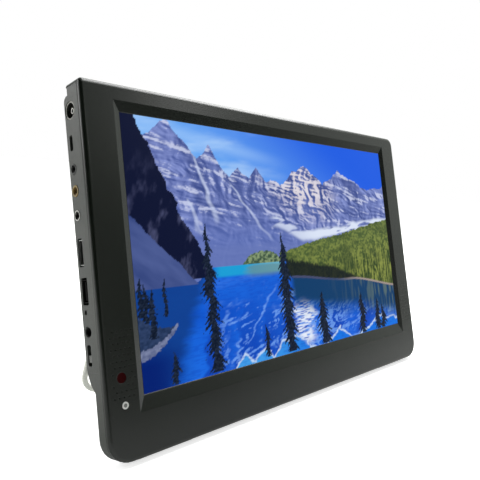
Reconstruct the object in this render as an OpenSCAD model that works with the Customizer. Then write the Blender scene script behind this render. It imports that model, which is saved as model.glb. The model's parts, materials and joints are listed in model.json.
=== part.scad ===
// Portable flat-panel television: casing, screen, electronics and a folding wire stand.
// Local frame of the set: X across, Y from the front face to the back, Z up from the
// bottom edge. leaned() turns the whole set back onto its stand, so the floor is Z = 0.

/* [Casing] */
// Width of the set
set_w = 365; // [355:1:375]
// Height of the set
set_h = 229; // [227:1:233]
// Angle that the set leans back on its stand
lean = 16; // [14:0.5:18]
// Thickness of the moulded walls
wall = 2; // [1.6:0.1:2.4]
// Depth of the front bezel, up to the parting line
seam_y = 3.3; // [3.1:0.1:3.4]
// Width of the bezel's broken outer edge
edge_r = 2.1; // [1.4:0.1:2.2]
// How much taller that broken edge is along the top
top_edge = 1.5; // [1:0.1:1.6]
// Corner radius at the top right
top_r = 7; // [5:0.5:10]
// Corner radius at the top left, beside the aerial socket
aerial_r = 2.6; // [2.3:0.1:4]
// Corner radius at the bottom of the set
bottom_r = 15; // [12:0.5:18]

/* [Rear hump] */
// Depth of the set at its bottom edge
low_y = 11.2; // [11:0.1:12]
// Depth of the ledge above the hump
top_y = 15.3; // [14.8:0.1:15.8]
// Depth of the hump at its lower end
hump_low_y = 18.8; // [18.6:0.1:19.4]
// Depth of the hump at its upper end
hump_high_y = 20; // [19.8:0.1:20.6]
// Radius of the hump's lower shoulder
shoulder_r = 20; // [18:1:22]
// Height where the lower shoulder starts
shoulder_z = 58; // [56:1:59]

/* [Screen] */
// Width of the visible picture
picture_w = 310; // [306:1:312]
// Height of the visible picture
picture_h = 174.4; // [172:0.2:176]
// Height of the picture's lower edge
picture_z = 36.6; // [35:0.2:38]
// How far the screen sits behind the face
recess_d = 2.2; // [2:0.1:2.6]
// Width of the sloping rim at the sides of the picture
rim_side = 5.2; // [4:0.2:6]
// Width of the sloping rim above the picture
rim_top = 7.2; // [6:0.2:8]
// Width of the sloping rim below the picture
rim_low = 9.7; // [8:0.2:10.4]

/* [Stand] */
// Diameter of the stand's wire
wire_d = 4.3; // [4:0.1:4.6]
// Width of the stand outside its legs
stand_w = 297.6; // [296:0.2:299]
// Length of a leg, from the pivot to the middle of the foot bar
leg_l = 157.6; // [156:0.2:158]
// Radius of the stand's two lower bends, at the middle of the wire
bend_r = 17.7; // [15:0.5:22]
// Height of the pivot
pivot_z = 161; // [161:0.5:163]
// Depth of the pivot behind the face
pivot_y = 16; // [15.8:0.1:16.2]

/* [Controls] */
// Number of keys on the top edge
key_count = 7; // [1:1:7]
// Distance from key to key
key_pitch = 14; // [13:0.5:14]
// Travel of a key
key_travel = 0.5; // [0.3:0.05:0.6]
// Travel of the power switch
switch_travel = 4; // [3:0.5:4]

/* [Grille] */
// Distance between the speaker holes
hole_pitch = 3.5; // [3.2:0.1:3.8]
// Diameter of a speaker hole
hole_d = 1.1; // [1:0.1:1.6]

/* [Hidden] */
$fn = 48;

half_w = set_w / 2;
picture_mid_z = picture_z + picture_h / 2;
gap = 0.3;                       // clearance round pieces that move
fit = 0.05;                      // running clearance of the stand's pivot
parting = 0.25;                  // open line between the bezel and the back

// Depth and inset of the steps that break the bezel's outer edge, in edge widths
edge_steps = [[0, 1], [0.05, 0.78], [0.2, 0.46], [0.46, 0.2], [0.78, 0.05], [1, 0]];

// Shoulder and upper step of the back
shoulder_y = hump_low_y - shoulder_r;
step_r = 4;
step_z = 217.5;

// The plate that carries the sockets, let into the left wall
panel_y = 5.6;
panel_z0 = 54;
panel_z1 = 219;

// The screen module behind the bezel
module_w = 320;
module_h = 187.6;
module_z = picture_mid_z - module_h / 2;
glass_y = recess_d;
frame_y = glass_y + 1.2;
tray_y = frame_y + 2.4;
tray_t = 0.6;

// Circuit board and the line of sockets on the left side
board_y = 9.6;
board_t = 1.6;
parts_y = board_y + board_t;     // rear face of the board, where the parts sit
board_x = -half_w + 4.5;
board_w = 132;
board_z = 52;
board_h = 150;
cavity_x = -half_w + wall;       // inside of the left wall
socket_depth = 13;
part_top_y = 17;                 // tallest part on the board
antenna_y = 13.7;
antenna_z = 211.8;
data_y = 15;
data_z = 191.9;
jack_y = 14.8;
earphone_z = 176;
video_z = 162.6;
audio_z = 147.7;
av_y = 14.6;
av_z = 125.2;
stick_y = 13.4;
stick_z = 102;
charge_y = 14.4;
charge_z = 89.4;
dc_y = 13.5;
dc_z = 77.9;
switch_y = 14.2;
switch_z = 64.05;
sleeve_r = 5.5;
plug_r = 4.76;                   // half of a 9.52 mm aerial plug
jack_r = 1.78;                   // half of a 3.5 mm jack's hole
dc_r = 2.8;                      // half of the power plug's hole
knob_l = 4;

// Windows in the left of the bezel
ir_x = -half_w + 11.4;
ir_z = 49.7;
lamp_x = -half_w + 12.4;
lamp_z = 33.5;
lens_r = 1.2;
ir_board_y = 7.6;
ir_posts = [-half_w + 5.9, -half_w + 16.9];
ir_post_z = 29.5;

// Speakers behind the grilles
grille_x = half_w - 13;
grille_z = 57.5;
grille_cols = 5;
grille_rows = 12;
speaker_x = half_w - 10.5;
speaker_z = 65.5;

// Keys on the top edge
key_x = 72;
key_y = 9.5;
key_l = 9.6;
key_w = 3.6;
key_proud = 1;
strip_t = 2.8;                   // thickness of the strip that carries the keys
strip_lip = 0.8;                 // how far it stands out behind the ledge
strip_z = set_h - strip_t;
key_seat_z = strip_z - 0.1;
key_stem_z = 222.1;
key_board_z = 217.8;

// Screws: place across, height and depth of the outer wall there
case_points = [[174, 11, low_y], [60, 9, low_y], [60, 222.4, top_y], [174, 221.5, top_y]];
boss_y = 8;
screw_r = 1.45;
head_r = 2.7;
head_seat = 2.2;
board_points = [[-156, 57], [-156, 136.5], [-55, 57], [-55, 192]];

// Stand: it rests on the floor when its pivot angle is stand_open
wire_r = wire_d / 2;
leg_x = stand_w / 2 - wire_r;
foot_t = 0.8;                    // rubber under the lowest corner of the casing
floor_drop = low_y * sin(lean) + foot_t;
stand_open = lean + acos((pivot_z * cos(lean) - pivot_y * sin(lean) + floor_drop
    - wire_r) / leg_l);
foot_y = pivot_y + leg_l * sin(stand_open);
foot_z = pivot_z - leg_l * cos(stand_open);
pin_bend = 5;
pin_in = 128;
bearing_x0 = 129;
bearing_x1 = 139;
bearing_h = 18;
pocket_y = 12.9;
pocket_floor = 1.5;              // wall under the bearing pocket, clear of the board
channel_t = 1.6;
groove_y = pivot_y - wire_r - gap;
groove_half = wire_r + 0.5;

// The middle of the whole object's depth goes to Y = 0
front_reach = edge_r * min([for (step = edge_steps) step[0] * cos(lean) + step[1] * sin(lean)]);
back_reach = foot_y * cos(lean) + foot_z * sin(lean) + wire_r;
y_mid = (front_reach + back_reach) / 2;

// ---------- helpers ----------
function arc(cx, cy, r, a0, a1, n = 8) =
    [for (i = [0:n]) [cx + r * cos(a0 + (a1 - a0) * i / n),
                      cy + r * sin(a0 + (a1 - a0) * i / n)]];

// Front view of the casing, inset by t and lowered by drop along the top
function outline(t, drop = 0) = concat(
    arc(half_w - top_r, set_h - top_r - drop, top_r - t, 0, 90),
    arc(-half_w + aerial_r, set_h - aerial_r - drop, aerial_r - t, 90, 180),
    arc(-half_w + bottom_r, bottom_r, bottom_r - t, 180, 270),
    arc(half_w - bottom_r, bottom_r, bottom_r - t, 270, 360));

// Side view of the back shell, inset by t, from its open front edge at y0
function back_profile(t, y0) = concat(
    [[y0, t], [low_y - t, t]],
    arc(shoulder_y, shoulder_z, shoulder_r - t,
        -acos((low_y - t - shoulder_y) / (shoulder_r - t)), 0),
    arc(hump_high_y - step_r, step_z, step_r - t, 0, 90),
    [[top_y - t, step_z + step_r - t], [top_y - t, set_h - 1.2 - t],
     [top_y - 1.2 - t, set_h - t], [y0, set_h - t]]);

function rounded(w, h, r, n = 4) = concat(
    arc(w / 2 - r, h / 2 - r, r, 0, 90, n), arc(-w / 2 + r, h / 2 - r, r, 90, 180, n),
    arc(-w / 2 + r, -h / 2 + r, r, 180, 270, n), arc(w / 2 - r, -h / 2 + r, r, 270, 360, n));

module leaned() {
    translate([0, -y_mid, floor_drop]) rotate([-lean, 0, 0]) children();
}

// Extrudes a front view from depth y0 to y1
module slab(y0, y1) {
    translate([0, y1, 0]) rotate([90, 0, 0]) linear_extrude(y1 - y0) children();
}

// Extrudes a side view (depth, height) from x0 to x1
module across(x0, x1) {
    translate([x0, 0, 0]) rotate([90, 0, 90]) linear_extrude(x1 - x0) children();
}

module block(x, y, z) {
    translate([x[0], y[0], z[0]]) cube([x[1] - x[0], y[1] - y[0], z[1] - z[0]]);
}

module rod_y(x, z, r, y0, y1) {
    translate([x, y0, z]) rotate([-90, 0, 0]) cylinder(r = r, h = y1 - y0);
}

module rod_x(y, z, r, x0, x1) {
    translate([x0, y, z]) rotate([0, 90, 0]) cylinder(r = r, h = x1 - x0);
}

// A slot of length l (height) and width w (depth) through the left wall
module side_slot(y, z, l, w, r, x0, x1) {
    across(x0, x1) translate([y, z]) polygon(rounded(w, l, r));
}

module both_sides() {
    children();
    mirror([1, 0, 0]) children();
}

// ---------- casing ----------
module bezel_body() {
    hull() for (step = edge_steps)
        slab(edge_r * step[0], seam_y)
            polygon(outline(edge_r * step[1], edge_r * step[1] * (top_edge - 1)));
}

// The sloping rim: wide at the face, as large as the picture at the screen
module rim_opening() {
    x0 = picture_w / 2;
    x1 = x0 + rim_side;
    z0 = picture_z;
    z1 = picture_z + picture_h;
    over = 1;                    // how far the cutter runs past both faces
    k = over / recess_d;
    intersection() {
        linear_extrude(set_h + 10)
            polygon([[-x1 - rim_side * k, -over], [x1 + rim_side * k, -over],
                     [x0, recess_d], [x0, seam_y], [-x0, seam_y], [-x0, recess_d]]);
        across(-half_w, half_w)
            polygon([[-over, z0 - rim_low * (1 + k)], [recess_d, z0], [seam_y, z0],
                     [seam_y, z1], [recess_d, z1], [-over, z1 + rim_top * (1 + k)]]);
    }
}

function near(x, z, cx, cz, r) = (x - cx) * (x - cx) + (z - cz) * (z - cz) < r * r;

module grille_holes() {
    for (side = [-1, 1], row = [0:grille_rows - 1], col = [0:grille_cols - 1]) {
        stagger = (row % 2) * hole_pitch / 2 - hole_pitch / 4;
        x = side * grille_x + (col - (grille_cols - 1) / 2) * hole_pitch * 0.92 + stagger;
        z = grille_z + (row - (grille_rows - 1) / 2) * hole_pitch;
        if (!near(x, z, ir_x, ir_z, 5.2) && !near(x, z, lamp_x, lamp_z, 4.4))
            rod_y(x, z, hole_d / 2, -1, recess_d + 1);
    }
}

module front_bezel() {
    color("#232523") leaned() {
        difference() {
            bezel_body();
            slab(recess_d, seam_y + 1) polygon(outline(wall));
            rim_opening();
            grille_holes();
            rod_y(ir_x, ir_z, 3.2, -1, seam_y);
            rod_y(lamp_x, lamp_z, 2.2, -1, seam_y);
        }
        both_sides() for (p = case_points) difference() {
            rod_y(p[0], p[1], 3, recess_d, boss_y);
            rod_y(p[0], p[1], screw_r + fit, recess_d + 1, boss_y + 1);
        }
        for (x = ir_posts) {
            rod_y(x, ir_post_z, 2, recess_d, ir_board_y);
            rod_y(x, ir_post_z, 1.2, ir_board_y, ir_board_y + 1.4);
        }
    }
}

module shell_solid(t, y0) {
    intersection() {
        across(-half_w + t, half_w - t) polygon(back_profile(t, y0));
        slab(y0, hump_high_y + 1) polygon(outline(t));
    }
}

// Moulded parts inside the back shell, before their holes are cut
module shell_inside() {
    both_sides() {
        block([leg_x - groove_half - channel_t, leg_x + groove_half + channel_t],
              [groove_y - channel_t, hump_high_y], [shoulder_z - 14, pivot_z]);
        block([pin_in - 3, leg_x + groove_half + channel_t], [pocket_y - pocket_floor, hump_high_y],
              [pivot_z - bearing_h / 2 - 3, pivot_z + bearing_h / 2 + 3]);
        for (p = case_points) rod_y(p[0], p[1], 3.6, boss_y, p[2]);
    }
}

module vents() {
    for (i = [0:15]) {
        slab(hump_low_y - wall - 1, hump_high_y + 1)
            translate([-112 + 8 * i, 192]) polygon(rounded(2.2, 26, 1.05));
        slab(hump_low_y - wall - 1, hump_high_y + 1)
            translate([-8 + 8 * i, 192]) polygon(rounded(2.2, 26, 1.05));
    }
}

// The stretch of the left wall that the socket panel takes over
module panel_zone() {
    block([-half_w - 1, cavity_x], [panel_y, hump_high_y + 1], [panel_z0, panel_z1]);
}

module side_holes() {
    x0 = -half_w - 1;
    x1 = cavity_x + 0.5;
    rod_x(antenna_y, antenna_z, sleeve_r + 0.2, x0, x1);
    side_slot(data_y, data_z, 9.5, 3.4, 1, x0, x1);
    rod_x(jack_y, earphone_z, 3.3, x0, x1);
    rod_x(jack_y, video_z, 3.7, x0, x1);
    rod_x(jack_y, audio_z, 3.4, x0, x1);
    side_slot(av_y, av_z, 17.1, 5.4, 1.2, x0, x1);
    side_slot(stick_y, stick_z, 16.3, 6.4, 0.8, x0, x1);
    rod_x(charge_y, charge_z, 1.6, x0, x1);
    rod_x(dc_y, dc_z, 3.4, x0, x1);
    side_slot(switch_y, switch_z, 12.5, 4.2, 1, x0, x1);
}

module back_shell() {
    color("#2b2d2b") leaned() difference() {
        union() {
            difference() {
                shell_solid(0, seam_y + parting);
                shell_solid(wall, seam_y - 1);
            }
            intersection() {
                shell_inside();
                shell_solid(0.5, seam_y + parting);
            }
        }
        panel_zone();
        block([cavity_x - 1, cavity_x + 12], [antenna_y, antenna_y + sleeve_r + 0.2],
              [antenna_z - sleeve_r - 0.2, antenna_z + sleeve_r + 0.2]);
        vents();
        both_sides() {
            block([leg_x - groove_half, leg_x + groove_half],
                  [groove_y, hump_high_y + 1], [shoulder_z - 20, pivot_z]);
            block([pin_in - 1, leg_x + groove_half], [pocket_y, hump_high_y + 1],
                  [pivot_z - bearing_h / 2 - 1, pivot_z + bearing_h / 2 + 1]);
            for (p = case_points) {
                rod_y(p[0], p[1], screw_r + 0.25, boss_y - 1, p[2] + 1);
                rod_y(p[0], p[1], head_r + gap, p[2] - head_seat, p[2] + 6);
            }
            for (z = [-1, 1])
                rod_y((bearing_x0 + bearing_x1) / 2, pivot_z + z * 6.2, 1.25,
                      pocket_y - pocket_floor - 1, pocket_y + 1);
        }
        block([-half_w - 1, half_w + 1], [seam_y - 1, hump_high_y], [strip_z, set_h + 1]);
    }
}

// The strip along the top edge, with the openings for the keys
module top_strip() {
    color("#1d1e1c") leaned() difference() {
        intersection() {
            across(-half_w, half_w)
                polygon([[seam_y + parting, strip_z], [top_y + strip_lip, strip_z],
                         [top_y + strip_lip, set_h - 1], [top_y + strip_lip - 1, set_h],
                         [seam_y + parting, set_h]]);
            slab(0, hump_high_y) polygon(outline(0));
        }
        for (i = [0:key_count - 1])
            block([key_x + key_pitch * i - key_l / 2 - gap, key_x + key_pitch * i + key_l / 2 + gap],
                  [key_y - key_w / 2 - gap, key_y + key_w / 2 + gap], [strip_z - 1, set_h + 1]);
    }
}

module socket_panel() {
    color("#2f312f") leaned() difference() {
        intersection() {
            across(-half_w, cavity_x) polygon(back_profile(0, seam_y));
            panel_zone();
        }
        side_holes();
    }
}

module ir_window() {
    color("#3a0008") leaned() {
        rod_y(ir_x, ir_z, 3.1, 0.1, recess_d);
        rod_y(ir_x, ir_z, 4.2, recess_d, recess_d + 0.8);
    }
}

module lamp_collar() {
    color("#d8d8d4") leaned() difference() {
        union() {
            rod_y(lamp_x, lamp_z, 2.15, -0.15, recess_d);
            rod_y(lamp_x, lamp_z, 3.2, recess_d, recess_d + 0.7);
        }
        rod_y(lamp_x, lamp_z, lens_r, -1, seam_y);
    }
}

module lamp_lens() {
    color("#5a5f5a") leaned() rod_y(lamp_x, lamp_z, lens_r, -0.05, recess_d + 0.7);
}

// ---------- screen ----------
module lcd_glass() {
    color("#1d3f7a") leaned()
        block([-158, 158], [glass_y, frame_y], [module_z + 2, module_z + module_h - 2]);
}

module lcd_frame() {
    color("#e8e8e4") leaned() difference() {
        block([-module_w / 2, module_w / 2], [frame_y, tray_y],
              [module_z, module_z + module_h]);
        block([-156.5, 156.5], [frame_y - 1, tray_y + 1],
              [module_z + 2.5, module_z + module_h - 4]);
    }
}

module light_guide() {
    color("#f4f4f0") leaned()
        block([-156, 156], [frame_y, tray_y],
              [module_z + 5.5, module_z + module_h - 4.5]);
}

module led_strip() {
    color("#f7f3d0") leaned() {
        block([-150, 150], [frame_y, tray_y], [module_z + 2.5, module_z + 3.3]);
        for (i = [0:29])
            block([-147 + 10 * i, -143 + 10 * i], [frame_y + 0.5, tray_y - 0.5],
                  [module_z + 3.3, module_z + 5.5]);
    }
}

module lcd_tray() {
    color("#a9acad") leaned() {
        difference() {
            block([-module_w / 2, module_w / 2], [tray_y, tray_y + tray_t],
                  [module_z, module_z + module_h]);
            for (x = [-1, 1], z = [-1, 1])
                rod_y(x * 110, picture_mid_z + z * 70, 6, tray_y - 1, tray_y + 2);
        }
        for (p = board_points) difference() {
            rod_y(p[0], p[1], 2.6, tray_y + tray_t, board_y);
            rod_y(p[0], p[1], 1.25, tray_y + tray_t + 0.4, board_y + 1);
        }
    }
}

// ---------- electronics ----------
module main_board() {
    color("#1f5c38") leaned() difference() {
        block([board_x, board_x + board_w], [board_y, parts_y], [board_z, board_z + board_h]);
        block([board_x - 1, cavity_x + socket_depth + 2.5], [board_y - 1, parts_y + 1],
              [stick_z - 7.2, stick_z + 7.2]);
        block([board_x - 1, cavity_x + socket_depth], [board_y - 1, parts_y + 1],
              [dc_z - 5.2, dc_z + 5.2]);
        for (p = board_points) rod_y(p[0], p[1], 1.6, board_y - 1, parts_y + 1);
    }
}

module tuner_can() {
    color("#b9bcbd") leaned() {
        difference() {
            block([-164, -122], [9.4, 17.3], [204.4, 218.6]);
            block([-163.6, -122.4], [9.8, 16.9], [204.8, 218.2]);
        }
        for (x = [-158, -132]) block([x, x + 4], [parts_y, parts_y + 0.5], [198, 204.4]);
    }
}

module chip(x, z, w, h, t) {
    block([x - w / 2, x + w / 2], [parts_y, parts_y + t], [z - h / 2, z + h / 2]);
}

module processor() {
    color("#26282a") leaned() chip(-92, 128, 19, 19, 1.4);
}

module heat_sink() {
    color("#8f9496") leaned() {
        block([-105, -79], [parts_y + 1.4, parts_y + 2.6], [115, 141]);
        for (i = [0:6])
            block([-105 + 4.2 * i, -104.2 + 4.2 * i], [parts_y + 2.6, part_top_y - 0.2], [115, 141]);
    }
}

module memory_chips() {
    color("#1c1d1f") leaned() {
        chip(-68, 135, 11, 14, 1.1);
        chip(-68, 117, 11, 14, 1.1);
        chip(-110, 160, 9, 9, 1.2);
        chip(-92, 96, 8, 6, 1);
    }
}

module capacitors() {
    color("#40455a") leaned() for (i = [0:4])
        rod_y(-118 + 13 * i, 72, 3.2, parts_y, part_top_y - 0.4);
}

module panel_ribbon() {
    z1 = board_z + board_h;
    color("#c9c2a8") leaned() across(-100, -78)
        polygon([[tray_y + tray_t, z1 + 1.6], [tray_y + tray_t, z1 + 9],
                 [parts_y + 1.5, z1 + 9], [parts_y + 1.5, z1 - 10], [parts_y, z1 - 10],
                 [parts_y, z1 - 1], [parts_y + 1.2, z1 - 1], [parts_y + 1.2, z1 + 8.7],
                 [tray_y + tray_t + 0.3, z1 + 8.7], [tray_y + tray_t + 0.3, z1 + 1.6]]);
}

// ---------- sockets on the left side ----------
module antenna_sleeve() {
    color("#c3c4c0") leaned() difference() {
        union() {
            rod_x(antenna_y, antenna_z, sleeve_r, -half_w + 0.3, cavity_x + 11);
            block([cavity_x + 11, -164], [9.4, 17.3], [antenna_z - 4, antenna_z + 4]);
        }
        rod_x(antenna_y, antenna_z, plug_r, -half_w - 1, cavity_x + 10);
    }
}

module antenna_insulator() {
    color("#efece0") leaned() difference() {
        rod_x(antenna_y, antenna_z, plug_r, cavity_x + 8.4, cavity_x + 10);
        rod_x(antenna_y, antenna_z, 1.7, cavity_x + 8, cavity_x + 11);
    }
}

module antenna_contact() {
    color("#d9c27a") leaned() difference() {
        rod_x(antenna_y, antenna_z, 1.7, -half_w + 1.8, cavity_x + 10);
        rod_x(antenna_y, antenna_z, 1.2, -half_w + 1, cavity_x + 6);
    }
}

module data_socket() {
    x1 = cavity_x + 7;
    color("#9a9d9e") leaned() {
        difference() {
            side_slot(data_y, data_z, 8.9, 2.9, 0.8, -half_w + 0.8, x1);
            side_slot(data_y, data_z, 8.3, 2.3, 0.6, -half_w, x1 - 0.6);
        }
        block([cavity_x + 0.3, x1], [parts_y, data_y - 1.45], [data_z - 3.6, data_z + 3.6]);
        block([-half_w + 2, x1 - 0.6], [data_y - 0.3, data_y + 0.3], [data_z - 3, data_z + 3]);
    }
}

// A 3.5 mm jack: black body on the board, and a nose that fills its collar
module jack_body(z) {
    difference() {
        union() {
            block([cavity_x + 0.3, cavity_x + socket_depth], [parts_y, part_top_y],
                  [z - 4.2, z + 4.2]);
            rod_x(jack_y, z, 2.45, -half_w + 0.6, cavity_x + 0.3);
        }
        rod_x(jack_y, z, jack_r, -half_w - 1, cavity_x + socket_depth - 1);
    }
}

module jack_collar(z, r) {
    difference() {
        rod_x(jack_y, z, r, -half_w - 0.25, cavity_x - fit);
        rod_x(jack_y, z, 2.5, -half_w - 1, cavity_x + 1);
    }
}

module earphone_jack() {
    color("#161616") leaned() jack_body(earphone_z);
}

module video_jack() {
    color("#161616") leaned() jack_body(video_z);
}

module audio_jack() {
    color("#161616") leaned() jack_body(audio_z);
}

module earphone_collar() {
    color("#7c7f7a") leaned() jack_collar(earphone_z, 3.1);
}

module video_collar() {
    color("#d9b43a") leaned() jack_collar(video_z, 3.5);
}

module audio_collar() {
    color("#d5d6d2") leaned() jack_collar(audio_z, 3.25);
}

module av_socket() {
    x1 = cavity_x + 11;
    color("#b5b8b9") leaned() {
        difference() {
            side_slot(av_y, av_z, 15.4, 5.2, 0.8, -half_w + 0.5, x1);
            side_slot(av_y, av_z, 14.6, 4.4, 0.6, -half_w - 1, x1 - 0.8);
        }
        block([cavity_x + 3, x1], [parts_y, av_y - 2.6], [av_z - 6, av_z + 6]);
    }
}

module av_tongue() {
    color("#141414") leaned()
        block([-half_w + 1.6, cavity_x + 10.2], [av_y - 0.5, av_y + 0.5],
              [av_z - 5.8, av_z + 5.8]);
}

module stick_socket() {
    x1 = cavity_x + 14;
    color("#b5b8b9") leaned() {
        difference() {
            side_slot(stick_y, stick_z, 13.8, 6, 0.4, -half_w + 0.5, x1);
            side_slot(stick_y, stick_z, 13, 5.2, 0.3, -half_w - 1, x1 - 0.8);
        }
        for (z = [stick_z - 9, stick_z + 6.9])
            block([x1 - 8, x1 - 4], [parts_y, parts_y + 0.5], [z, z + 2.1]);
    }
}

module stick_tongue() {
    color("#141414") leaned()
        block([-half_w + 1.4, cavity_x + 13.2], [stick_y + 0.3, stick_y + 2.2],
              [stick_z - 5.6, stick_z + 5.6]);
}

module charge_lamp() {
    color("#d8dcd0") leaned() {
        rod_x(charge_y, charge_z, 1.45, -half_w + 0.4, cavity_x + 4);
        block([cavity_x + 4, cavity_x + 6], [parts_y, charge_y + 1.45],
              [charge_z - 1.45, charge_z + 1.45]);
    }
}

module dc_jack() {
    color("#131313") leaned() difference() {
        union() {
            block([cavity_x + 0.3, cavity_x + 12.5], [board_y, part_top_y - 0.2],
                  [dc_z - 4.8, dc_z + 4.8]);
            rod_x(dc_y, dc_z, 3.3, -half_w + 0.4, cavity_x + 0.3);
            block([cavity_x + 4, cavity_x + 8], [parts_y, parts_y + 0.6],
                  [dc_z - 6.6, dc_z + 6.6]);
        }
        rod_x(dc_y, dc_z, dc_r, -half_w - 1, cavity_x + 9.5);
    }
}

module dc_pin() {
    color("#d0d0cc") leaned() rod_x(dc_y, dc_z, 1, -half_w + 3.2, cavity_x + 9.5);
}

module switch_body() {
    color("#9fa2a3") leaned() difference() {
        block([cavity_x + 0.4, cavity_x + 6.4], [parts_y, switch_y + 2.3],
              [switch_z - 6.6, switch_z + 6.6]);
        block([cavity_x, cavity_x + 3.4], [switch_y - 1.6, switch_y + 1.6],
              [switch_z - 4.6, switch_z + 4.6]);
    }
}

// Modelled at the lower end of its travel
module switch_knob() {
    z = switch_z - switch_travel / 2;
    color("#d2d3cf") leaned() difference() {
        block([-half_w + 0.3, cavity_x + 3], [switch_y - 1.3, switch_y + 1.3],
              [z - knob_l / 2, z + knob_l / 2]);
        for (i = [-1:1])
            block([-half_w, -half_w + 0.7], [switch_y - 2, switch_y + 2],
                  [z + i * 1.2 - 0.25, z + i * 1.2 + 0.25]);
    }
}

// ---------- speakers ----------
module speaker() {
    x = speaker_x;
    difference() {
        slab(recess_d, recess_d + 1.4) translate([x, speaker_z]) polygon(rounded(15.6, 22, 3));
        rod_y(x, speaker_z, 7.1, recess_d, recess_d + 2);
    }
    difference() {
        rod_y(x, speaker_z, 7.6, recess_d + 1.4, recess_d + 4.6);
        rod_y(x, speaker_z, 7.1, recess_d + 1, recess_d + 4.2);
    }
    rod_y(x, speaker_z, 5.4, recess_d + 4.6, recess_d + 7);
}

module cone() {
    translate([speaker_x, recess_d + 0.5, speaker_z]) rotate([-90, 0, 0]) difference() {
        cylinder(r1 = 7.1, r2 = 2.6, h = 3);
        translate([0, 0, -0.3]) cylinder(r1 = 7.1, r2 = 2.2, h = 3);
    }
}

module speakers() {
    color("#3a3a3c") leaned() both_sides() speaker();
}

module speaker_cones() {
    color("#17171a") leaned() both_sides() cone();
}

// ---------- battery ----------
module battery_cells() {
    color("#a8b0b8") leaned() for (i = [0:1])
        slab(tray_y + tray_t, tray_y + tray_t + 8.2)
            translate([20 + 62 * i, 118]) polygon(rounded(58, 110, 2));
}

module battery_board() {
    color("#256b45") leaned() {
        block([0, 74], [9, 10.2], [173, 180]);
        for (i = [0:3]) block([8 + 16 * i, 13 + 16 * i], [10.2, 11.4], [175, 178.5]);
    }
}

// ---------- infrared and lamp board ----------
module ir_board() {
    color("#1f5c38") leaned() difference() {
        block([-half_w + 3, -half_w + 20], [ir_board_y, ir_board_y + 1.2], [26, 51.9]);
        for (x = ir_posts) rod_y(x, ir_post_z, 1.2, ir_board_y - 1, ir_board_y + 3);
    }
}

module ir_receiver() {
    color("#1a1a1e") leaned() {
        block([ir_x - 2.6, ir_x + 2.6], [recess_d + 2.2, ir_board_y], [ir_z - 3.2, ir_z + 2.2]);
        rod_y(ir_x, ir_z, 1.9, recess_d + 1, recess_d + 2.2);
    }
}

module lamp_led() {
    color("#c9d8c0") leaned() rod_y(lamp_x, lamp_z, 1.5, recess_d + 0.9, ir_board_y);
}

// ---------- keys ----------
module key_board() {
    color("#1f5c38") leaned()
        block([key_x - 7, key_x + key_pitch * (key_count - 1) + 7], [7, top_y - wall],
              [key_board_z, key_board_z + 1]);
}

module key_switches() {
    color("#b9bcbd") leaned() for (i = [0:key_count - 1]) {
        x = key_x + key_pitch * i;
        block([x - 2.6, x + 2.6], [key_y - 1.8, key_y + 1.8], [key_board_z + 1, key_board_z + 2.6]);
        translate([x, key_y, key_board_z + 2.6]) cylinder(r = 1, h = 0.8);
    }
}

module key(i) {
    x = key_x + key_pitch * (i - 1);
    color("#30322f") leaned() {
        translate([x, key_y, key_seat_z]) linear_extrude(strip_t + 0.1 + key_proud)
            polygon(rounded(key_l, key_w, 1.2));
        block([x - 5.8, x + 5.8], [key_y - 2.6, key_y + 2.6], [key_seat_z - 1.2, key_seat_z]);
        translate([x, key_y, key_stem_z]) cylinder(r = 1, h = key_seat_z - 1.2 - key_stem_z);
    }
}

// ---------- stand ----------
// Quarter of a ring in the stand's own plane, from angle a to a + 90
module bend(x, z, r, a) {
    translate([x, 0, z]) rotate([90, 0, 0]) rotate([0, 0, a])
        rotate_extrude(angle = 90) translate([r, 0]) circle(r = wire_r);
}

// The wire as it hangs folded, with its pivot at the origin
module stand_wire() {
    translate([-leg_x + bend_r, 0, -leg_l]) rotate([0, 90, 0])
        cylinder(r = wire_r, h = 2 * (leg_x - bend_r));
    both_sides() {
        bend(leg_x - bend_r, -leg_l + bend_r, bend_r, 270);
        translate([leg_x, 0, -leg_l + bend_r])
            cylinder(r = wire_r, h = leg_l - bend_r - pin_bend);
        bend(leg_x - pin_bend, -pin_bend, pin_bend, 0);
        translate([pin_in, 0, 0]) rotate([0, 90, 0])
            cylinder(r = wire_r, h = leg_x - pin_bend - pin_in);
    }
}

module kickstand() {
    color("#c9cac4") leaned() translate([0, pivot_y, pivot_z])
        rotate([stand_open, 0, 0]) stand_wire();
}

module stand_bearings() {
    color("#3a3c3a") leaned() both_sides() difference() {
        block([bearing_x0, bearing_x1], [pocket_y, hump_low_y + 0.4],
              [pivot_z - bearing_h / 2, pivot_z + bearing_h / 2]);
        rod_x(pivot_y, pivot_z, wire_r + fit, bearing_x0 - 1, bearing_x1 + 1);
        for (z = [-1, 1])
            rod_y((bearing_x0 + bearing_x1) / 2, pivot_z + z * 6.2, 1.45, pocket_y - 1, hump_high_y);
    }
}

// ---------- screws and feet ----------
module screw(x, z, r, head, y0, y1, t) {
    rod_y(x, z, r, y0, y1);
    difference() {
        rod_y(x, z, head, y1, y1 + t);
        for (a = [0, 90]) translate([x, y1 + t, z]) rotate([0, a, 0])
            cube([head * 1.2, 1.2, 0.5], center = true);
    }
}

module bearing_screws() {
    color("#8b8e8f") leaned() both_sides() for (z = [-1, 1])
        screw((bearing_x0 + bearing_x1) / 2, pivot_z + z * 6.2, 1.2, 2.2,
              pocket_y - pocket_floor + 0.1, hump_low_y + 0.4, 0.6);
}

module case_screws() {
    color("#55585a") leaned() both_sides() for (p = case_points)
        screw(p[0], p[1], screw_r, head_r, recess_d + 1.4, p[2] - head_seat, 1.7);
}

module board_screws() {
    color("#8b8e8f") leaned() for (p = board_points)
        screw(p[0], p[1], 1.2, 2.4, tray_y + tray_t + 0.8, parts_y, 1.4);
}

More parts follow.
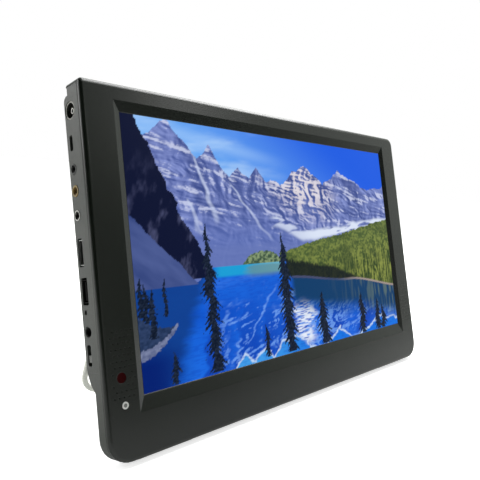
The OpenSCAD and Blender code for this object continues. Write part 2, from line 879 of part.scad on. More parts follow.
module feet() {
    color("#1a1a1a") difference() {
        leaned() both_sides() block([118, 160], [7, low_y - 0.5], [-4, 0]);
        translate([-half_w, -set_h, -20]) cube([set_w, 2 * set_h, 20]);
    }
}

front_bezel();
back_shell();
socket_panel();
top_strip();
ir_window();
lamp_collar();
lamp_lens();
lcd_glass();
lcd_frame();
light_guide();
led_strip();
lcd_tray();
main_board();
tuner_can();
processor();
heat_sink();
memory_chips();
capacitors();
panel_ribbon();
antenna_sleeve();
antenna_insulator();
antenna_contact();
data_socket();
earphone_jack();
video_jack();
audio_jack();
earphone_collar();
video_collar();
audio_collar();
av_socket();
av_tongue();
stick_socket();
stick_tongue();
charge_lamp();
dc_jack();
dc_pin();
switch_body();
switch_knob();
speakers();
speaker_cones();
battery_cells();
battery_board();
ir_board();
ir_receiver();
lamp_led();
key_board();
key_switches();
key(1);  // key_1
key(2);  // key_2
key(3);  // key_3
key(4);  // key_4
key(5);  // key_5
key(6);  // key_6
key(7);  // key_7
kickstand();
stand_bearings();
bearing_screws();
case_screws();
board_screws();
feet();
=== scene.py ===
# Portable flat-panel television: looks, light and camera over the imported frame.
import json
import math

import bmesh
import bpy
import numpy as np
from mathutils import Matrix, Vector


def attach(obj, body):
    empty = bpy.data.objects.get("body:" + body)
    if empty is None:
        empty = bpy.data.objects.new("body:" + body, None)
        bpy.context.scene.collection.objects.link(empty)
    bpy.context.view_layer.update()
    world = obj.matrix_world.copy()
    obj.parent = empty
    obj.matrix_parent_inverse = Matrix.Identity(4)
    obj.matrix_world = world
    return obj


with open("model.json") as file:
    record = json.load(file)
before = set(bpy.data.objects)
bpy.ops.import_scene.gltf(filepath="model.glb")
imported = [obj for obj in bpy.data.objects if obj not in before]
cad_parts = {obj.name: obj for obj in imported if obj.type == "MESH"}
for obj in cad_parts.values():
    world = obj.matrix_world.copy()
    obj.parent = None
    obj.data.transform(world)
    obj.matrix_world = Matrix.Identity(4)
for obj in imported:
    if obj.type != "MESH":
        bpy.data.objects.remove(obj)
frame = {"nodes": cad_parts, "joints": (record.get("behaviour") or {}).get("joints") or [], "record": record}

MM = 0.001
LEAN = math.radians(16)
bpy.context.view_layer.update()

# ---------- the set's own frame: X across, Y from the face to the back, Z up ----------
# The stand's hinge fixes it: its place in the row frame gives the shift after the lean.
hinge = next(j for j in frame["joints"] if j["name"] == "stand_fold")
PIVOT = Vector((0, 16 * MM, 161 * MM))
TURN = Matrix.Rotation(-LEAN, 4, "X")
SET = Matrix.Translation(Vector(hinge["pos_m"]) - TURN @ PIVOT) @ TURN


def at(x, y, z):
    """A point given in millimetres in the set's own frame, in the row frame."""
    return SET @ Vector((x * MM, y * MM, z * MM))


# ---------- materials ----------
def tree(name):
    m = bpy.data.materials.new(name)
    m.use_nodes = True
    m.node_tree.nodes.clear()
    return m, m.node_tree.nodes, m.node_tree.links


def node(nodes, kind, **values):
    n = nodes.new("ShaderNode" + kind)
    for key, value in values.items():
        if hasattr(n, key):
            setattr(n, key, value)
        else:
            n.inputs[key.replace("_", " ")].default_value = value
    return n


def rgba(c):
    return (c[0], c[1], c[2], 1.0)


def finish(name, color, rough, metal=0.0, coat=0.0, grain=900.0, depth=0.15, spread=0.12,
           second=None, rough_spread=0.06, streak=None, specular=0.5, bump_mm=0.02, large=14.0,
           wear=0.0, glow=0.0):
    """Moulded or plated surface: colour drift, roughness drift, fine grain and paler edges."""
    m, nodes, links = tree(name)
    coord = node(nodes, "TexCoord")
    out = node(nodes, "OutputMaterial")
    bsdf = node(nodes, "BsdfPrincipled")
    bsdf.inputs["Metallic"].default_value = metal
    bsdf.inputs["Coat Weight"].default_value = coat
    bsdf.inputs["Coat Roughness"].default_value = 0.12
    bsdf.inputs["Specular IOR Level"].default_value = specular
    place = coord.outputs["Object"]
    if streak:
        mapping = node(nodes, "Mapping")
        mapping.inputs["Scale"].default_value = streak
        links.new(place, mapping.inputs["Vector"])
        place = mapping.outputs["Vector"]
    drift = node(nodes, "TexNoise")
    drift.inputs["Scale"].default_value = large
    drift.inputs["Detail"].default_value = 4.0
    links.new(place, drift.inputs["Vector"])
    fine = node(nodes, "TexNoise")
    fine.inputs["Scale"].default_value = grain
    fine.inputs["Detail"].default_value = 3.0
    fine.inputs["Roughness"].default_value = 0.6
    links.new(place, fine.inputs["Vector"])
    ramp = node(nodes, "ValToRGB")
    ramp.color_ramp.elements[0].position = 0.3
    ramp.color_ramp.elements[0].color = rgba([max(c * (1 - spread), 0) for c in color])
    ramp.color_ramp.elements[1].position = 0.7
    ramp.color_ramp.elements[1].color = rgba([min(c * (1 + spread), 1) for c in second or color])
    links.new(drift.outputs["Fac"], ramp.inputs["Fac"])
    speck = node(nodes, "MixRGB", blend_type="MULTIPLY")
    speck.inputs["Fac"].default_value = depth
    links.new(ramp.outputs["Color"], speck.inputs["Color1"])
    tone = node(nodes, "ValToRGB")
    tone.color_ramp.elements[0].position = 0.35
    tone.color_ramp.elements[0].color = (0.5, 0.5, 0.5, 1)
    tone.color_ramp.elements[1].position = 0.62
    tone.color_ramp.elements[1].color = (1.3, 1.3, 1.3, 1)
    links.new(fine.outputs["Fac"], tone.inputs["Fac"])
    links.new(tone.outputs["Color"], speck.inputs["Color2"])
    result = speck.outputs["Color"]
    bump = node(nodes, "Bump")
    if wear:
        # small rounded edges, and where the rounded normal leaves the flat one a paler rub
        bevel = node(nodes, "Bevel", samples=6)
        bevel.inputs["Radius"].default_value = 0.5 * MM
        links.new(bevel.outputs["Normal"], bump.inputs["Normal"])
        flat = node(nodes, "NewGeometry")
        turn = node(nodes, "VectorMath", operation="DOT_PRODUCT")
        links.new(bevel.outputs["Normal"], turn.inputs[0])
        links.new(flat.outputs["True Normal"], turn.inputs[1])
        edge = node(nodes, "MapRange")
        edge.inputs["From Min"].default_value = 0.995
        edge.inputs["From Max"].default_value = 0.85
        edge.inputs["To Max"].default_value = wear
        links.new(turn.outputs["Value"], edge.inputs["Value"])
        patch = node(nodes, "Math", operation="MULTIPLY")
        links.new(edge.outputs["Result"], patch.inputs[0])
        links.new(drift.outputs["Fac"], patch.inputs[1])
        rub = node(nodes, "MixRGB")
        rub.inputs["Color2"].default_value = rgba([min(c * 4 + 0.05, 1) for c in color])
        links.new(patch.outputs["Value"], rub.inputs["Fac"])
        links.new(result, rub.inputs["Color1"])
        result = rub.outputs["Color"]
    links.new(result, bsdf.inputs["Base Color"])
    if glow:
        links.new(result, bsdf.inputs["Emission Color"])
        bsdf.inputs["Emission Strength"].default_value = glow
    gloss = node(nodes, "MapRange")
    gloss.inputs["To Min"].default_value = max(rough - rough_spread, 0.03)
    gloss.inputs["To Max"].default_value = min(rough + rough_spread, 1.0)
    links.new(fine.outputs["Fac"], gloss.inputs["Value"])
    links.new(gloss.outputs["Result"], bsdf.inputs["Roughness"])
    bump.inputs["Strength"].default_value = 0.5
    bump.inputs["Distance"].default_value = bump_mm * MM
    links.new(fine.outputs["Fac"], bump.inputs["Height"])
    links.new(bump.outputs["Normal"], bsdf.inputs["Normal"])
    links.new(bsdf.outputs["BSDF"], out.inputs["Surface"])
    return m


LOOKS = {
    "bezel_plastic": finish("charcoal_satin", (0.0052, 0.0074, 0.0050), 0.25, grain=1400,
                            bump_mm=0.015, depth=0.35, wear=0.03, specular=0.4),
    "shell_plastic": finish("grey_texture", (0.032, 0.036, 0.030), 0.4, grain=1150, bump_mm=0.07,
                            depth=0.8, wear=0.06),
    "ir_filter": finish("dark_red_filter", (0.02, 0.0, 0.0005), 0.2, grain=300, bump_mm=0.004,
                        specular=0.1),
    "lamp_ring": finish("white_ring", (0.62, 0.62, 0.6), 0.3, grain=700, depth=0.1),
    "lamp_grey": finish("smoked_lens", (0.13, 0.14, 0.13), 0.3, coat=0.2, grain=500),
    "screen": finish("panel_glass", (0.02, 0.02, 0.025), 0.12, coat=0.4, grain=400, bump_mm=0.003),
    "white_plastic": finish("white_moulding", (0.78, 0.78, 0.75), 0.45),
    "acrylic": finish("acrylic", (0.85, 0.86, 0.84), 0.12, coat=0.5),
    "led_yellow": finish("light_strip", (0.8, 0.76, 0.4), 0.4),
    "sheet_metal": finish("plated_sheet", (0.42, 0.43, 0.42), 0.38, metal=1.0, grain=500,
                          streak=(1, 1, 14)),
    "circuit_board": finish("solder_mask", (0.012, 0.12, 0.045), 0.3, coat=0.4,
                            second=(0.03, 0.2, 0.08), grain=420, depth=0.5, large=180),
    "chip_black": finish("epoxy", (0.02, 0.02, 0.022), 0.5),
    "heat_sink_metal": finish("extruded_alloy", (0.6, 0.62, 0.63), 0.38, metal=1.0, streak=(1, 1, 10)),
    "capacitor_blue": finish("can_sleeve", (0.06, 0.07, 0.15), 0.35),
    "ribbon": finish("ribbon", (0.6, 0.56, 0.42), 0.5, streak=(30, 1, 1)),
    "plated_steel": finish("nickel_plate", (0.4, 0.4, 0.37), 0.34, metal=1.0, grain=700),
    "insulator": finish("ivory", (0.75, 0.71, 0.6), 0.4),
    "socket_black": finish("socket_black", (0.008, 0.008, 0.008), 0.42, grain=900),
    "collar_black": finish("collar_dark", (0.05, 0.052, 0.05), 0.3, coat=0.3),
    "collar_yellow": finish("collar_yellow", (0.22, 0.15, 0.04), 0.35, coat=0.1),
    "collar_silver": finish("collar_silver", (0.32, 0.32, 0.3), 0.25, metal=1.0),
    "lamp_clear": finish("smoky_resin", (0.05, 0.06, 0.05), 0.2, coat=0.4),
    "knob_silver": finish("grey_knob", (0.16, 0.165, 0.155), 0.4, grain=900),
    "speaker_can": finish("speaker_frame", (0.02, 0.02, 0.022), 0.5),
    "speaker_cone": finish("paper_cone", (0.015, 0.015, 0.016), 0.85, grain=2200, bump_mm=0.1),
    "cell_foil": finish("foil", (0.5, 0.52, 0.55), 0.3, metal=1.0, grain=240, bump_mm=0.06),
    "key_plastic": finish("key_plastic", (0.03, 0.033, 0.03), 0.5, grain=1500),
    "stand_wire": finish("pale_lacquer", (0.8, 0.81, 0.74), 0.34, grain=700, coat=0.2),
    "bearing_plastic": finish("bearing_plastic", (0.03, 0.032, 0.03), 0.5, grain=1500),
    "screw_dark": finish("blackened_steel", (0.07, 0.07, 0.075), 0.35, metal=1.0, grain=800),
    "foot_rubber": finish("rubber", (0.012, 0.012, 0.012), 0.8, grain=1200, bump_mm=0.05),
}
# the data socket, the stick socket and its tongue, and the charge lamp are near black, darker than the bare
# metal inside the set: painted shade of their recesses; the video jack's amber and the aerial sleeve's dull
# nickel are their own finishes
OWN_LOOKS = {
    "data_socket": finish("painted_shade_data_shell", (0.02, 0.02, 0.019), 0.5, metal=0.6),
    "stick_socket": finish("painted_shade_stick_shell", (0.0035, 0.0035, 0.0032), 0.6, specular=0.1),
    "stick_tongue": finish("painted_shade_stick_tongue", (0.002, 0.002, 0.002), 0.6, specular=0.1),
    "charge_lamp": finish("unlit_lamp_painted_shade", (0.002, 0.0025, 0.002), 0.5, specular=0.1),
    "video_jack": finish("amber_plastic", (0.15, 0.085, 0.02), 0.45),
    "antenna_sleeve": finish("dull_nickel", (0.21, 0.21, 0.19), 0.36, metal=1.0, grain=900, wear=0.2),
}
slots = {s["node"]: s["material_slot"] for s in frame["record"]["subparts"]}
for name, obj in frame["nodes"].items():
    look = OWN_LOOKS.get(name, LOOKS[slots[name]])
    if not obj.material_slots:
        obj.data.materials.append(look)
    for s in obj.material_slots:
        s.material = look

# ---------- the picture on the screen ----------
def lattice(ix, iy, seed):
    h = (ix * 374761393 + iy * 668265263 + seed * 1442695041) & 0x7FFFFFFF
    h = ((h ^ (h >> 13)) * 1274126177) & 0x7FFFFFFF
    return ((h ^ (h >> 16)) & 0xFFFF) / 65535.0


def noise(x, y, seed):
    ix, iy = np.floor(x).astype(np.int64), np.floor(y).astype(np.int64)
    fx, fy = x - ix, y - iy
    fx, fy = fx * fx * (3 - 2 * fx), fy * fy * (3 - 2 * fy)
    a, b = lattice(ix, iy, seed), lattice(ix + 1, iy, seed)
    c, d = lattice(ix, iy + 1, seed), lattice(ix + 1, iy + 1, seed)
    return (a * (1 - fx) + b * fx) * (1 - fy) + (c * (1 - fx) + d * fx) * fy


def cloud(x, y, seed, octaves=5):
    total, scale = np.zeros_like(x), 0.0
    for k in range(octaves):
        w = 0.55 ** k
        total += w * noise(x * 2 ** k, y * 2 ** k, seed + k)
        scale += w
    return total / scale


def mix(a, b, t):
    t = np.clip(t, 0, 1)[..., None]
    return a * (1 - t) + np.asarray(b, float) * t


def step(a, b, x):
    t = np.clip((x - a) / (b - a), 0, 1)
    return t * t * (3 - 2 * t)


# summits of the range: place across, depth below the top, slopes to the left and right
PEAKS = [(0.12, 0.0, 1.1, 1.9), (0.235, 0.085, 1.3, 2.3), (0.325, 0.16, 1.8, 1.6),
         (0.39, 0.155, 2.4, 2.2), (0.455, 0.205, 0.6, 0.6), (0.585, 0.12, 0.95, 1.0),
         (0.75, 0.135, 0.8, 0.62), (1.0, 0.19, 0.4, 0.4)]


def crest(u):
    """Height of the range's skyline, measured down from the top of the picture."""
    top = np.full_like(u, 0.235)
    for place, height, left, right in PEAKS:
        top = np.minimum(top, height + np.where(u < place, left, right) * np.abs(u - place))
    return top + (cloud(u * 30, u * 0 + 3.1, 5, 5) - 0.5) * 0.05


def shaded_side(u, v):
    """How far a point lies on the side of its peak that is turned from the sun."""
    shade = np.zeros_like(u)
    for place, height, _, _ in PEAKS:
        out = u - place - 0.16 * (v - height) + 0.05 * (cloud(u * 15, v * 15, 25, 3) - 0.5)
        shade = np.maximum(shade, step(0.0, 0.018, out) * step(0.13, 0.05, out))
    return shade * step(0.55, 0.2, v)


def relief(u, v):
    """Ridges and gullies of the far rock face."""
    warp = cloud(u * 7, v * 7, 11, 3)
    ridge = 1 - np.abs(2 * cloud(u * 17 + 2.4 * warp, v * 7 - 3 * warp, 14, 5) - 1)
    ledge = cloud(u * 8 + 5, v * 46 + 5 * warp - 4 * u, 17, 4)
    return ridge * 0.65 + ledge * 0.35


def chute(u, v, start, end, width):
    """Mask of a snow-filled gully from one point down to another."""
    t = (v - start[1]) / (end[1] - start[1])
    line = start[0] + (end[0] - start[0]) * t + 0.012 * (noise(v * 26, v * 0, 33) - 0.5)
    inside = step(0, 0.1, t) * step(1.0, 0.85, t)
    return step(width * (0.35 + 0.8 * t), width * 0.1, np.abs(u - line)) * inside


def range_color(u, v):
    """Rock, snow and haze of the far mountains at height v."""
    e = 0.004
    tilt = (relief(u - e, v) - relief(u + e, v)) + 0.9 * (relief(u, v + e) - relief(u, v - e))
    light = np.clip(0.5 + 3.2 * tilt, 0, 1)
    body = cloud(u * 5, v * 6, 23, 3)
    dark = mix(np.zeros(u.shape + (3,)) + (0.045, 0.075, 0.27), (0.085, 0.125, 0.38), body * 1.6 - 0.3)
    rock = mix(dark, (0.25, 0.31, 0.66), light)
    rock = mix(rock, (0.035, 0.06, 0.23), shaded_side(u, v) * (0.75 - 0.45 * light))
    depth = v - crest(u)
    drift = cloud(u * 13, v * 60 - 22 * u, 29, 4)
    snow = step(0.52, 0.68, drift * 0.75 + light * 0.28 - depth * 0.35)
    rock = mix(rock, (0.60, 0.64, 0.84), snow * 0.8)
    far = np.hypot(u - 0.55 - 0.25 * (v - 0.15), (v - 0.22) * 0.8)
    sun = step(0.19, 0.03, far) * step(0.40, 0.62, light)
    rock = mix(rock, (0.80, 0.74, 0.76), 0.85 * sun)
    # snow-filled gullies: head, foot and half width of each
    gullies = [((0.185, 0.12), (0.245, 0.42), 0.012), ((0.285, 0.22), (0.43, 0.5), 0.010),
               ((0.30, 0.12), (0.27, 0.2), 0.004), ((0.16, 0.30), (0.19, 0.46), 0.012)]
    for start, end, width in gullies:
        rock = mix(rock, (0.55, 0.62, 0.84), chute(u, v, start, end, width) * (0.55 + 0.4 * light))
    # the snow field under the face, then blue haze down to the shore
    line = 0.40 + 0.07 * step(0.43, 0.58, u) - 0.06 * step(0.6, 0.95, u)
    wave = 0.03 * (cloud(u * 20, v * 6, 61, 3) - 0.5)
    band = step(0.035, 0.012, np.abs(v - line + wave)) * step(0.41, 0.46, u)
    rock = mix(rock, (0.70, 0.77, 0.92), band * step(0.36, 0.5, cloud(u * 16 + v * 20, v * 30, 63, 3)))
    haze = step(0.32, 0.5, v) * step(0.62, 0.4, u)
    rock = mix(rock, (0.10, 0.155, 0.46), haze * 0.62)
    return mix(rock, (0.13, 0.18, 0.46), step(0.47, 0.52, v) * 0.7)


def pine(u, v, place, top, low, width):
    """Mask of one dark conifer: tiers of boughs that droop as they go out."""
    du = (u - place - 0.002 * np.sin(v * 55 + place * 90)) * 16 / 9
    t = (v - top - 0.55 * np.abs(du)) / (low - top)
    count = (low - top) * 48
    index = np.floor(t * count)
    tier = t * count - index
    side = (du > 0).astype(np.int64)
    reach = 0.55 + 0.7 * lattice(index.astype(np.int64), side, int(place * 1000))
    fray = 0.75 + 0.5 * noise(u * 300, v * 200, 77)
    half = width * 16 / 9 * np.clip(t / 0.4, 0, 1) ** 0.75 * reach * (0.4 + 0.6 * tier) * fray
    trunk = 0.0022 + 0.002 * t
    return (np.abs(du) < np.maximum(half, trunk)) & (t > 0) & (v < low)


def landscape(u, v):
    """A mountain lake laid out after the view on the photographed screen.

    u runs right and v runs down, both from 0 to 1.
    """
    blank = np.zeros(u.shape + (3,))
    # sky, paler towards the left and the skyline
    glow = step(0.75, -0.1, u - v * 0.9)
    sky = mix(blank + (0.008, 0.105, 0.76), (0.15, 0.42, 0.90), glow)
    wisp = cloud(u * 3 - v * 5, v * 10 + u * 3, 81, 5)
    sky = mix(sky, (0.55, 0.75, 0.97), step(0.45, 0.8, wisp) * 0.75 * step(0.62, 0.15, u))
    ray = step(0.05, 0.0, np.abs(v - 0.06 - 0.22 * (u - 0.2)))
    sky = mix(sky, (0.35, 0.58, 0.95), ray * step(0.55, 0.3, u) * 0.5)
    col = np.where((v > crest(u))[..., None], range_color(u, v), sky)

    # wooded slope on the right, in shadow near the water, and a small lit hill
    bank = 0.655 + 0.045 * step(0.47, 0.75, u) + 0.075 * step(0.75, 1.05, u)
    rise = 0.545 - 0.06 * step(0.42, 0.66, u) - 0.10 * step(0.6, 1.08, u)
    rise = rise + 0.012 * (cloud(u * 120, v * 3, 91, 2) - 0.5)
    near = step(0.0, 0.25, v - rise)
    stems = noise(u * 230, v * 24 + 9 * noise(u * 60, v * 5, 92), 95)
    tuft = cloud(u * 150, v * 120, 96, 3)
    lit = (1 - near) * tuft + near * (0.65 * stems + 0.35 * tuft)
    wood = mix(blank + (0.028, 0.055, 0.014), (0.25, 0.29, 0.06), step(0.28, 0.72, lit))
    wood = mix(wood, (0.11, 0.17, 0.05), (1 - near) * 0.45)
    wood = mix(wood, (0.035, 0.06, 0.02), step(0.55, 0.75, cloud(u * 12, v * 16 - 3 * u, 98, 3)) * 0.55)
    shadow = 0.575 + 0.04 * step(0.47, 0.64, u) + 0.09 * step(0.62, 0.85, u)
    gloom = step(-0.004, 0.012, v - shadow + 0.02 * (stems - 0.5)) * step(0.86, 0.76, u)
    wood = mix(wood, (0.006, 0.011, 0.012), gloom * 0.95)
    col = np.where(((v > rise) & (u > 0.44 + 0.02 * tuft))[..., None], wood, col)
    hump = 0.528 + 9 * (u - 0.385) ** 2 + 0.014 * (cloud(u * 90, v * 4, 99, 2) - 0.5)
    hill = mix(blank + (0.04, 0.08, 0.05), (0.24, 0.33, 0.17), step(0.3, 0.7, tuft))
    col = np.where(((v > hump) & (v > 0.51) & (u > 0.295) & (u < 0.5) & (v < 0.583))[..., None], hill, col)

    # the lake mirrors the range in bright blue
    shore = np.where(u > 0.47, bank, 0.582 + 0.06 * step(0.22, 0.15, u))
    water = v > shore
    swell = cloud(u * 9, v * 26, 71, 4) - 0.5
    um, vm = u + 0.05 * swell, 0.585 - 1.04 * (v - 0.585) + 0.04 * swell
    mirror = range_color(um, np.clip(vm, 0, 1))
    lake = mix(blank + (0.003, 0.088, 0.60), (0.012, 0.16, 0.80), cloud(u * 4, v * 9, 73, 3) * 1.5 - 0.3)
    lake = mix(lake, (0.002, 0.045, 0.42), shaded_side(um, vm) * 0.8)
    pale = step(0.12, 0.42, mirror[..., 0] + 0.35 * swell)
    lake = mix(lake, (0.17, 0.37, 0.88), pale * 0.8 * step(0.17, 0.26, u))
    above = crest(um) - vm
    open_sky = mix(blank + (0.05, 0.33, 0.80), (0.004, 0.17, 0.76), step(0.3, 0.6, u))
    lake = mix(lake, open_sky, step(0.0, 0.008, above) * step(0.2, 0.25, u))
    lake = mix(lake, (0.62, 0.76, 0.93), step(0.009, 0.003, np.abs(above)) * step(0.2, 0.25, u) * 0.8)
    ripple = noise(u * 70, v * 330, 75)
    lake = mix(lake, (0.003, 0.06, 0.50), step(0.45, 0.8, ripple) * 0.35)
    left = step(0.02, -0.03, u - 0.20 + 0.32 * np.clip(v - 0.62, 0, 1) + 0.05 * swell)
    lake = mix(lake, (0.004, 0.045, 0.24), left * 0.9)
    lake = mix(lake, (0.0, 0.014, 0.16), step(0.80, 0.92, v) * step(0.16, 0.02, u))
    aside = (u - 0.525 + 0.05 * swell - 0.06 * (v - 0.85)) / 0.055
    white = step(1.0, 0.55, np.hypot(aside, (v - 0.87) / 0.13))
    broken = step(0.38, 0.62, 0.5 * ripple + 0.6 * cloud(u * 22, v * 40, 76, 3))
    lake = mix(lake, (0.78, 0.84, 0.95), white * broken)
    dip = v - bank
    streaks = step(0.4, 0.8, noise(u * 150, v * 14, 78)) * step(0.6, 1.0, u)
    trees = mix(blank + (0.003, 0.045, 0.14), (0.085, 0.14, 0.15), streaks)
    lake = mix(lake, trees, step(0.16, 0.05, dip + 0.05 * swell - 0.06 * u) * step(0.47, 0.5, u))
    strip = step(0.05, 0.035, v - 0.582) * step(0.2, 0.24, u) * step(0.47, 0.45, u)
    lake = mix(lake, mix(blank + (0.01, 0.34, 0.66), (0.14, 0.44, 0.6), step(0.3, 0.45, u)), strip)
    green = step(1.1, 0.5, np.hypot((u - 0.385 + 0.1 * swell) / 0.075, (v - 0.60) / 0.045)) * (u < 0.47)
    lake = mix(lake, (0.12, 0.25, 0.26), green * step(0.583, 0.592, v) * 0.7)
    col = np.where(water[..., None], lake, col)
    beach = step(0.007, 0.003, np.abs(v - bank - 0.003 + 0.006 * swell)) * step(0.47, 0.5, u)
    col = mix(col, (0.36, 0.29, 0.26), beach * step(0.65, 0.85, u))
    col = mix(col, (0.06, 0.07, 0.15), beach * step(0.75, 0.6, u))

    # dark cliff and scree on the left
    edge = 0.028 + 0.30 * v + 0.028 * (cloud(u * 8, v * 26, 101, 4) - 0.5)
    crag = cloud(u * 42 + 6 * v, v * 11, 103, 5)
    ledges = step(0.46, 0.78, crag) * step(0.05, 0.45, v) * 0.9
    cliff = mix(blank + (0.003, 0.006, 0.030), (0.085, 0.095, 0.20), ledges)
    col = np.where(((u < edge) & (v < 0.62))[..., None], cliff, col)
    slope = 0.62 * (v - 0.37) + 0.012 * (cloud(v * 30, u * 9, 105, 3) - 0.5)
    stones = cloud(u * 20 - v * 14, v * 8, 106, 4) * 1.7 - 0.35
    scree = mix(blank + (0.028, 0.052, 0.19), (0.075, 0.11, 0.30), stones)
    col = np.where(((u < slope) & (v < 0.642) & (u < 0.19))[..., None], scree, col)
    spit = v - 0.865 + 8.0 * u ** 2 + 0.015 * (tuft - 0.5)
    col = np.where(((spit > 1.3 * (u - 0.1)) & (spit < 0) & (u < 0.1))[..., None],
                   mix(blank + (0.004, 0.016, 0.05), (0.04, 0.07, 0.17), tuft), col)
    col = np.where(((spit > -0.012) & (spit < 0.028 * (1 - u * 9)) & (u < 0.1))[..., None],
                   mix(blank + (0.03, 0.05, 0.15), (0.26, 0.30, 0.46), tuft), col)

    # pines in front: place, tip, foot and half width of each
    front = [(0.2, 0.405, 0.995, 0.027), (0.46, 0.45, 0.995, 0.032), (0.605, 0.745, 1.0, 0.032),
             (0.37, 0.85, 0.99, 0.012), (0.8, 0.785, 1.0, 0.026), (0.885, 0.83, 1.0, 0.024),
             (0.915, 0.87, 1.0, 0.022), (0.083, 0.88, 1.0, 0.013), (0.012, 0.6, 0.74, 0.012),
             (0.037, 0.64, 0.82, 0.014), (0.072, 0.61, 0.75, 0.008), (0.022, 0.62, 0.76, 0.01)]
    needles = noise(u * 300, v * 240, 79) * 1.4 - 0.5
    bark = mix(blank + (0.003, 0.008, 0.022), (0.022, 0.036, 0.07), needles)
    for place, top, low, width in front:
        mask = pine(u, v, place, top, low, width)
        col = np.where(mask[..., None], bark, col)
    return np.clip(col, 0, 1)


# The lit part of the glass, in the set's own frame, in millimetres
LIT_HALF_WIDTH = 155.2
LIT_BOTTOM, LIT_TOP = 36.3, 211.3
LIT_FRONT = 2.08                       # just in front of the glass, inside the sloping rim
LIT_COLUMNS, LIT_ROWS = 408, 236


def screen_picture():
    """The lit panel: a fine grid of faces carrying the picture as a colour attribute."""
    cols, rows = LIT_COLUMNS, LIT_ROWS
    u, v = np.meshgrid(np.linspace(0, 1, cols + 1), np.linspace(0, 1, rows + 1))
    x = -LIT_HALF_WIDTH + 2 * LIT_HALF_WIDTH * u
    z = LIT_TOP + (LIT_BOTTOM - LIT_TOP) * v
    y = np.full_like(x, LIT_FRONT)
    color = landscape(u, v)
    pts = np.stack([x, y, z, np.full_like(x, 1000)], -1).reshape(-1, 4) * MM
    world = pts @ np.array(SET).T
    ids = np.arange((cols + 1) * (rows + 1)).reshape(rows + 1, cols + 1)
    quads = np.stack([ids[1:, :-1], ids[1:, 1:], ids[:-1, 1:], ids[:-1, :-1]], -1).reshape(-1, 4)
    mesh = bpy.data.meshes.new("screen_picture")
    mesh.from_pydata(world[:, :3].tolist(), [], quads.tolist())
    attr = mesh.color_attributes.new("picture", "FLOAT_COLOR", "POINT")
    flat = np.concatenate([color.reshape(-1, 3), np.ones((color.shape[0] * color.shape[1], 1))], 1)
    attr.data.foreach_set("color", flat.astype(np.float32).ravel())
    obj = bpy.data.objects.new("screen_picture", mesh)
    bpy.context.scene.collection.objects.link(obj)
    m, nodes, links = tree("lit_picture")
    out = node(nodes, "OutputMaterial")
    bsdf = node(nodes, "BsdfPrincipled")
    bsdf.inputs["Roughness"].default_value = 0.22
    bsdf.inputs["IOR"].default_value = 1.12
    bsdf.inputs["Base Color"].default_value = (0.002, 0.002, 0.003, 1)
    bsdf.inputs["Emission Strength"].default_value = 1.0
    paint = node(nodes, "VertexColor")
    paint.layer_name = "picture"
    links.new(paint.outputs["Color"], bsdf.inputs["Emission Color"])
    links.new(bsdf.outputs["BSDF"], out.inputs["Surface"])
    mesh.materials.append(m)
    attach(obj, "set")
    return obj


screen_picture()

# ---------- floor, light and camera ----------
def floor():
    bm = bmesh.new()
    bmesh.ops.create_grid(bm, x_segments=8, y_segments=8, size=6)
    mesh = bpy.data.meshes.new("floor")
    bm.to_mesh(mesh)
    bm.free()
    obj = bpy.data.objects.new("floor", mesh)
    bpy.context.scene.collection.objects.link(obj)
    paper = finish("pale_floor", (0.9, 0.9, 0.9), 0.8, grain=300, spread=0.01, depth=0.02,
                   bump_mm=0.01, specular=0.05, glow=0.8)
    # bright to the eye but dim in the set's gloss, as the dark side of a studio would be
    nodes, links = paper.node_tree.nodes, paper.node_tree.links
    bsdf = next(n for n in nodes if n.type == "BSDF_PRINCIPLED")
    eye = node(nodes, "LightPath")
    level = node(nodes, "MapRange")
    level.inputs["To Min"].default_value = 0.0
    level.inputs["To Max"].default_value = bsdf.inputs["Emission Strength"].default_value
    links.new(eye.outputs["Is Camera Ray"], level.inputs["Value"])
    links.new(level.outputs["Result"], bsdf.inputs["Emission Strength"])
    mesh.materials.append(paper)


floor()


def softbox(name, place, aim, width, height, power):
    """A square-edged area light: metres and watts, in the row frame."""
    light = bpy.data.lights.new(name, "AREA")
    light.shape = "RECTANGLE"
    light.size, light.size_y = width, height
    light.energy = power
    obj = bpy.data.objects.new(name, light)
    bpy.context.scene.collection.objects.link(obj)
    obj.location = place
    obj.rotation_euler = (Vector(aim) - Vector(place)).to_track_quat("-Z", "Y").to_euler()


softbox("top_light", (0.7, 0.05, 1.35), (-0.05, 0, 0.2), 0.8, 1.0, 24)
softbox("front_fill", (0.25, -1.55, 0.2), (0, 0, 0.12), 0.6, 0.9, 1.4)
softbox("left_back_light", (-1.3, 1.0, 0.66), (-0.15, 0, 0.08), 1.2, 1.0, 17)
softbox("face_glow", (0.82, -0.91, 0.96), (-0.107, 0, 0.22), 0.18, 0.3, 0.6)

world = bpy.data.worlds.new("studio")
bpy.context.scene.world = world
world.use_nodes = True
wn, wl = world.node_tree.nodes, world.node_tree.links
wn.clear()
wout = wn.new("ShaderNodeOutputWorld")
seen = wn.new("ShaderNodeBackground")
seen.inputs["Color"].default_value = (1, 1, 1, 1)
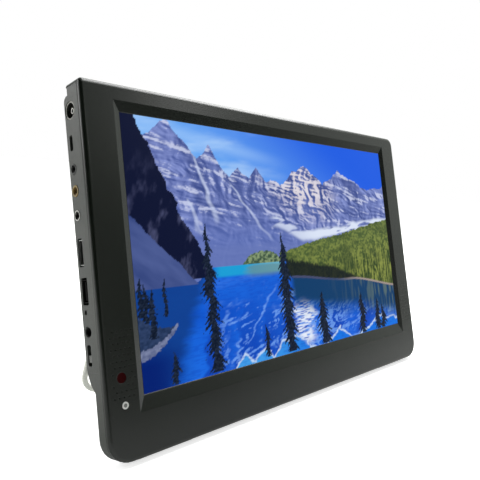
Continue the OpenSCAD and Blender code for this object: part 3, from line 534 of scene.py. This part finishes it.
# the room is bright above and to the right of the set, and dark in front of its left side
lit = wn.new("ShaderNodeBackground")
lit.inputs["Strength"].default_value = 1.0
heading = wn.new("ShaderNodeTexCoord")
facing = wn.new("ShaderNodeVectorMath")
facing.operation = "DOT_PRODUCT"
facing.inputs[1].default_value = (0.75, 0.35, 0.56)
wl.new(heading.outputs["Generated"], facing.inputs[0])
fade = wn.new("ShaderNodeMapRange")
fade.interpolation_type = "SMOOTHSTEP"
for socket, value in [("From Min", 0.12), ("From Max", 0.74), ("To Min", 0.03), ("To Max", 0.95)]:
    fade.inputs[socket].default_value = value
wl.new(facing.outputs["Value"], fade.inputs["Value"])
tint = wn.new("ShaderNodeMixRGB")
tint.blend_type = "MULTIPLY"
tint.inputs["Fac"].default_value = 1.0
tint.inputs["Color2"].default_value = (0.95, 1.0, 0.94, 1)
wl.new(fade.outputs["Result"], tint.inputs["Color1"])
wl.new(tint.outputs["Color"], lit.inputs["Color"])
path = wn.new("ShaderNodeLightPath")
both = wn.new("ShaderNodeMixShader")
wl.new(path.outputs["Is Camera Ray"], both.inputs["Fac"])
wl.new(lit.outputs["Background"], both.inputs[1])
wl.new(seen.outputs["Background"], both.inputs[2])
wl.new(both.outputs["Shader"], wout.inputs["Surface"])

cam_data = bpy.data.cameras.new("camera")
cam_data.sensor_width = 36
cam_data.lens = 537.5 / 480 * 36
cam_data.clip_start = 0.01
cam = bpy.data.objects.new("camera", cam_data)
bpy.context.scene.collection.objects.link(cam)
ahead = (SET.to_3x3() @ Vector((0.7094, 0.7025, 0.0572))).normalized()
rise = (SET.to_3x3() @ Vector((0.0300, -0.1112, 0.9934))).normalized()
across = ahead.cross(rise).normalized()
rise = across.cross(ahead)
eye = at(-343.1, -278.7, 105.0)
cam.matrix_world = Matrix.Translation(eye) @ Matrix((
    (across.x, rise.x, -ahead.x), (across.y, rise.y, -ahead.y), (across.z, rise.z, -ahead.z))).to_4x4()
bpy.context.scene.camera = cam
bpy.context.scene.view_settings.view_transform = "Standard"
